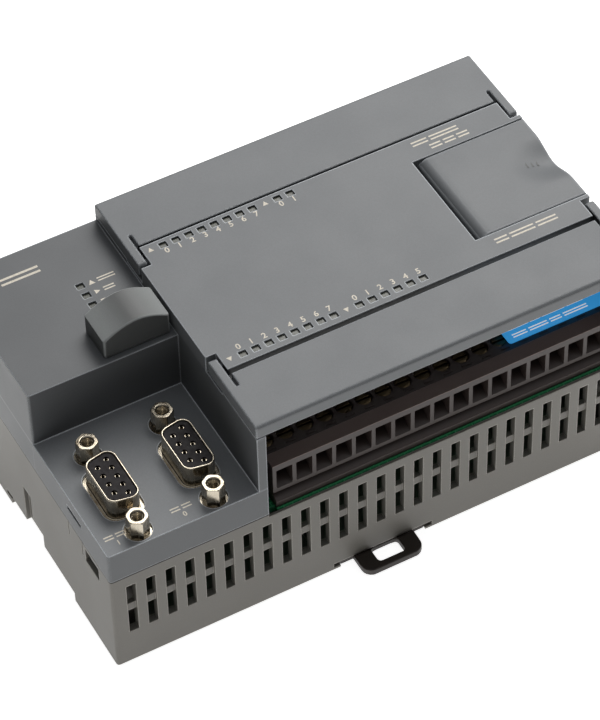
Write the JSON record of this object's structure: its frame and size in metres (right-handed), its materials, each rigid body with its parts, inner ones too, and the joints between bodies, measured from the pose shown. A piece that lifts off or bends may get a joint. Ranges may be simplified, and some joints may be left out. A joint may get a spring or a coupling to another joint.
{
  "type": "plc module",
  "caption": "Compact programmable controller for a 35 mm rail: vented base, stepped housing, serial ports, hinged terminal covers and an access door.",
  "frame": {"origin": "middle of the rail seat, in the plane of the back", "axes": "+X along the rail towards the access door, +Y towards the upper edge, +Z out of the front face"},
  "size_m": [0.1401, 0.0863, 0.0655],
  "materials": {
    "housing_plastic": "fine moulded texture",
    "cap_plastic": "fine moulded texture",
    "base_plastic": "fine moulded texture",
    "latch_plastic": "satin moulded",
    "terminal_plastic": "satin moulded",
    "connector_black": "smooth moulded",
    "circuit_board": "solder mask",
    "nickel": "bright nickel plate",
    "screw_brass": "turned",
    "brass": "plated contact",
    "blue_label": "printed film",
    "smoked_window": "smoked, unlit",
    "led_resin": "clear resin",
    "pale_plastic": "moulded",
    "blue_plastic": "moulded",
    "ferrite": "sintered",
    "coil_tape": "polyester tape",
    "capacitor_sleeve": "shrink sleeve",
    "relay_plastic": "moulded",
    "chip_plastic": "moulded epoxy"
  },
  "bodies": {
    "root": {"base": "base_plastic", "upper_housing": "housing_plastic", "main_board": "circuit_board", "top_board": "circuit_board", "board_link": "connector_black", "lower_terminal_header": "terminal_plastic", "lower_header_pins": "brass", "lower_terminal_plug": "terminal_plastic", "lower_terminal_screws": "screw_brass", "lower_wire_clamps": "nickel", "upper_terminal_header": "terminal_plastic", "upper_header_pins": "brass", "upper_terminal_plug": "terminal_plastic", "upper_terminal_screws": "screw_brass", "upper_wire_clamps": "nickel", "terminal_label": "blue_label", "cartridge_connector": "connector_black", "port_0_shell": "nickel", "port_0_insulator": "connector_black", "port_0_contacts": "brass", "port_0_jackscrews": "nickel", "port_1_shell": "nickel", "port_1_insulator": "connector_black", "port_1_contacts": "brass", "port_1_jackscrews": "nickel", "status_light_pipe": "smoked_window", "output_light_pipe": "smoked_window", "input_light_pipe": "smoked_window", "status_leds": "led_resin", "output_leds": "led_resin", "input_leds": "led_resin", "mode_switch_body": "connector_black", "pot_0_body": "blue_plastic", "pot_1_body": "blue_plastic", "expansion_connector": "connector_black", "expansion_pins": "brass", "power_transformer_core": "ferrite", "power_transformer_coil": "coil_tape", "bulk_capacitors": "capacitor_sleeve", "power_inductor": "ferrite", "output_relays": "relay_plastic", "input_optocouplers": "chip_plastic", "port_drivers": "chip_plastic", "processor_chip": "chip_plastic", "memory_chip": "chip_plastic", "backup_capacitor": "capacitor_sleeve"},
    "lower_cover": {"lower_terminal_cover": "housing_plastic"},
    "upper_cover": {"upper_terminal_cover": "housing_plastic"},
    "door": {"access_door": "housing_plastic"},
    "latch": {"din_latch": "latch_plastic"},
    "switch_lever": {"mode_switch_lever": "pale_plastic"},
    "dial_0": {"pot_0_dial": "pale_plastic"},
    "dial_1": {"pot_1_dial": "pale_plastic"},
    "cartridge": {"cartridge_cover": "cap_plastic"}
  },
  "joints": [
    {"name": "lower_cover_hinge", "type": "hinge", "parent": "root", "child": "lower_cover", "pos_m": [0.019, -0.0185, 0.06], "axis": [-1, 0, 0], "range_deg": [0, 90]},
    {"name": "upper_cover_hinge", "type": "hinge", "parent": "root", "child": "upper_cover", "pos_m": [0.019, 0.0185, 0.06], "axis": [1, 0, 0], "range_deg": [0, 90]},
    {"name": "access_door_hinge", "type": "hinge", "parent": "root", "child": "door", "pos_m": [0.042, 0, 0.06], "axis": [0, -1, 0], "range_deg": [0, 95]},
    {"name": "latch_slide", "type": "slide", "parent": "root", "child": "latch", "axis": [0, -1, 0], "range_m": [0, 0.004]},
    {"name": "mode_switch_slide", "type": "slide", "parent": "root", "child": "switch_lever", "axis": [0, -1, 0], "range_m": [0, 0.005]},
    {"name": "pot_0_turn", "type": "hinge", "parent": "root", "child": "dial_0", "pos_m": [0.0485, -0.0042, 0.054], "axis": [0, 0, 1], "range_deg": [-135, 135]},
    {"name": "pot_1_turn", "type": "hinge", "parent": "root", "child": "dial_1", "pos_m": [0.0485, -0.0102, 0.054], "axis": [0, 0, 1], "range_deg": [-135, 135]},
    {"name": "cartridge_pull", "type": "slide", "parent": "root", "child": "cartridge", "axis": [0, 0, 1], "range_m": [0, 0.008]}
  ]
}
